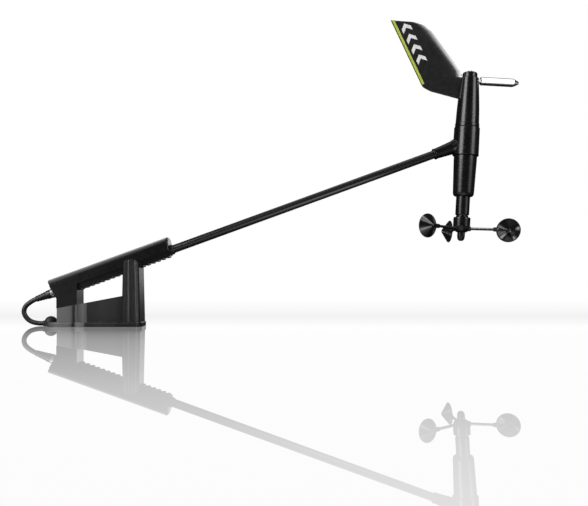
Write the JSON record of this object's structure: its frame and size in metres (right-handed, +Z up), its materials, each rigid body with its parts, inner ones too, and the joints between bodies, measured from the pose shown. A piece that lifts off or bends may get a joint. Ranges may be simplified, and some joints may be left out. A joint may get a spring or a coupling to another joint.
{
  "type": "masthead wind sensor",
  "caption": "Masthead wind sensor with a bladed wind vane over a cup rotor, carried on a slanting carbon spar from a screw-down base with a looped signal cable.",
  "frame": {"origin": "centre of the four mast screws on the mast plate's underside plane, at the middle of the plate between its two long edges, under the rear part of the post", "axes": "+X forward along the plate towards the rotor, +Z up, +Y to the left when facing forward"},
  "size_m": [0.5466, 0.0984, 0.3368],
  "materials": {
    "housing_plastic": "satin moulded",
    "carbon": "gloss lacquered carbon-fibre tube",
    "cable_rubber": "satin sheath",
    "seal_rubber": "matte",
    "stainless": "turned",
    "polished_steel": "polished",
    "bearing_steel": "ground",
    "brass": "machined",
    "gold_pins": "plated",
    "stripe_film": "lime film",
    "white_film": "printed film",
    "board": "solder-masked laminate",
    "chip": "moulded",
    "magnet": "nickel plated",
    "copper": "stranded",
    "inner_sheath": "extruded",
    "alu": "machined"
  },
  "bodies": {
    "mount": {"mast_base": "housing_plastic", "root_housing": "housing_plastic", "spar_seal": "seal_rubber", "foot_screws": "stainless", "foot_washers": "stainless", "spar_tube": "carbon", "spar_inner_cable": "inner_sheath", "spar_receptacle": "housing_plastic", "receptacle_pins": "gold_pins", "cable_plug": "cable_rubber", "signal_cable": "cable_rubber", "cable_gland": "seal_rubber", "cable_cores": "copper", "head_collar": "housing_plastic", "lower_housing": "housing_plastic", "housing_gasket": "seal_rubber", "rotor_bearing_tube": "housing_plastic", "vane_bearing_tube": "alu", "vane_outer_races": "bearing_steel", "rotor_outer_races": "bearing_steel", "vane_retaining_rings": "stainless", "rotor_retaining_rings": "stainless", "vane_sensor_board": "board", "rotor_sensor_board": "board", "sensor_chips": "chip"},
    "vane": {"vane_hub": "housing_plastic", "vane_blade": "housing_plastic", "vane_stripe": "stripe_film", "vane_marks": "white_film", "counterweight": "polished_steel", "counterweight_stud": "stainless", "vane_cap": "housing_plastic", "vane_cap_screw": "stainless", "vane_spindle": "stainless", "vane_race_spacer": "alu", "vane_inner_races": "bearing_steel", "vane_magnet": "magnet"},
    "vane_balls": {"vane_bearing_balls": "bearing_steel", "vane_bearing_cages": "brass"},
    "rotor": {"rotor_hub": "housing_plastic", "rotor_arms": "housing_plastic", "rotor_cups": "housing_plastic", "rotor_spindle": "stainless", "rotor_race_spacer": "alu", "rotor_hub_spacer": "alu", "rotor_inner_races": "bearing_steel", "rotor_magnet": "magnet", "tip_nut": "housing_plastic"},
    "rotor_balls": {"rotor_bearing_balls": "bearing_steel", "rotor_bearing_cages": "brass"},
    "coupling_ring": {"coupling_ring": "polished_steel"}
  },
  "joints": [
    {"name": "vane_spin", "type": "hinge", "parent": "mount", "child": "vane", "pos_m": [0.4028, 0, 0.20148], "axis": [0.0558, 0, 0.9984], "continuous": true},
    {"name": "vane_cage_spin", "type": "hinge", "parent": "mount", "child": "vane_balls", "pos_m": [0.4028, 0, 0.20148], "axis": [0.0558, 0, 0.9984], "continuous": true},
    {"name": "rotor_spin", "type": "hinge", "parent": "mount", "child": "rotor", "pos_m": [0.4028, 0, 0.20148], "axis": [0.0558, 0, 0.9984], "continuous": true},
    {"name": "rotor_cage_spin", "type": "hinge", "parent": "mount", "child": "rotor_balls", "pos_m": [0.4028, 0, 0.20148], "axis": [0.0558, 0, 0.9984], "continuous": true},
    {"name": "coupling_ring_turn", "type": "hinge", "parent": "mount", "child": "coupling_ring", "pos_m": [-0.05112, 0, 0.03626], "axis": [0.9397, 0, 0.342], "range_deg": [0, 60]}
  ],
  "couplings": [
    {"joint": "vane_cage_spin", "follows": "vane_spin", "ratio": 0.38889},
    {"joint": "rotor_cage_spin", "follows": "rotor_spin", "ratio": 0.37333}
  ]
}
